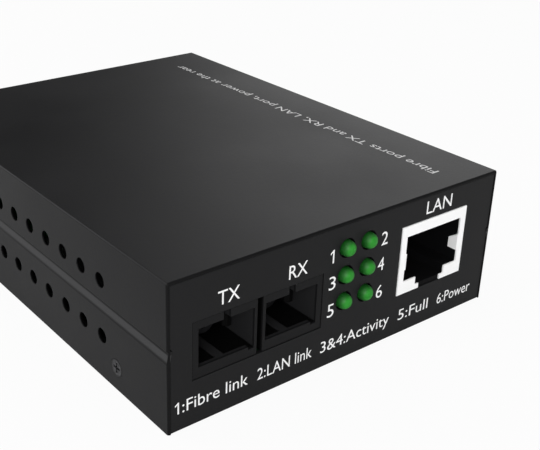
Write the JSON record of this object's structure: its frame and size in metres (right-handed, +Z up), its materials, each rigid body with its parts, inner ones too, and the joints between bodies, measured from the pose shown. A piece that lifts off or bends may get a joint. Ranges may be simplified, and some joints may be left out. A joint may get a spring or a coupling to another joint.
{
  "type": "fibre media converter",
  "caption": "Small black steel box that joins a twisted-pair network line to a pair of optical fibres, with optical ports, status lights and a socket on its front.",
  "frame": {"origin": "middle of the casing's underside, on the surface that it stands on", "axes": "+Z up; the front panel with the ports faces -Y and the rear panel +Y; +X is to the right as the front is looked at"},
  "size_m": [0.071, 0.0955, 0.026],
  "materials": {
    "board_green": "solder-masked glass laminate",
    "can_gold": "gold flashed can",
    "capacitor_can": "drawn can, satin",
    "casing_paint": "matt black powder coat over folded steel",
    "chip_black": "moulded epoxy",
    "clip_black": "moulded, plain",
    "coil_grey": "pressed ferrite",
    "contact_gold": "gold plated spring wire",
    "housing_black": "moulded, fine satin",
    "jack_black": "moulded, smooth",
    "jack_nickel": "bright nickel plate",
    "led_green": "green tinted, translucent",
    "part_buff": "fired, plain",
    "screw_black": "blackened countersunk steel",
    "sleeve_metal": "turned, plain",
    "steel_plain": "zinc plated steel",
    "tin_plate": "tinned"
  },
  "bodies": {
    "root": {"board_screws": "steel_plain", "bottom_tray": "casing_paint", "capacitor_1": "capacitor_can", "capacitor_2": "capacitor_can", "chip_capacitors": "part_buff", "chip_resistors": "chip_black", "converter_chip": "chip_black", "cover_screws": "screw_black", "crystal": "steel_plain", "isolation_transformer": "chip_black", "jack_contact_1": "contact_gold", "jack_contact_2": "contact_gold", "jack_contact_3": "contact_gold", "jack_contact_4": "contact_gold", "jack_contact_5": "contact_gold", "jack_contact_6": "contact_gold", "jack_contact_7": "contact_gold", "jack_contact_8": "contact_gold", "jack_insert": "jack_black", "jack_shield": "jack_nickel", "led_holder": "chip_black", "main_board": "board_green", "memory_chip": "chip_black", "optical_housing": "housing_black", "power_coil": "coil_grey", "power_inlet_body": "jack_black", "power_inlet_pin": "tin_plate", "power_inlet_spring": "tin_plate", "regulator": "chip_black", "rx_ferrule_sleeve": "sleeve_metal", "rx_latch_clip": "clip_black", "rx_photodiode_can": "can_gold", "standoffs": "steel_plain", "status_led_1": "led_green", "status_led_2": "led_green", "status_led_3": "led_green", "status_led_4": "led_green", "status_led_5": "led_green", "status_led_6": "led_green", "top_cover": "casing_paint", "transceiver_board": "board_green", "transceiver_pin_1": "tin_plate", "transceiver_pin_2": "tin_plate", "transceiver_pin_3": "tin_plate", "transceiver_pin_4": "tin_plate", "transceiver_pin_5": "tin_plate", "transceiver_pin_6": "tin_plate", "transceiver_pin_7": "tin_plate", "transceiver_pin_8": "tin_plate", "transceiver_pin_9": "tin_plate", "tx_ferrule_sleeve": "sleeve_metal", "tx_laser_can": "can_gold", "tx_latch_clip": "clip_black"}
  },
  "joints": []
}
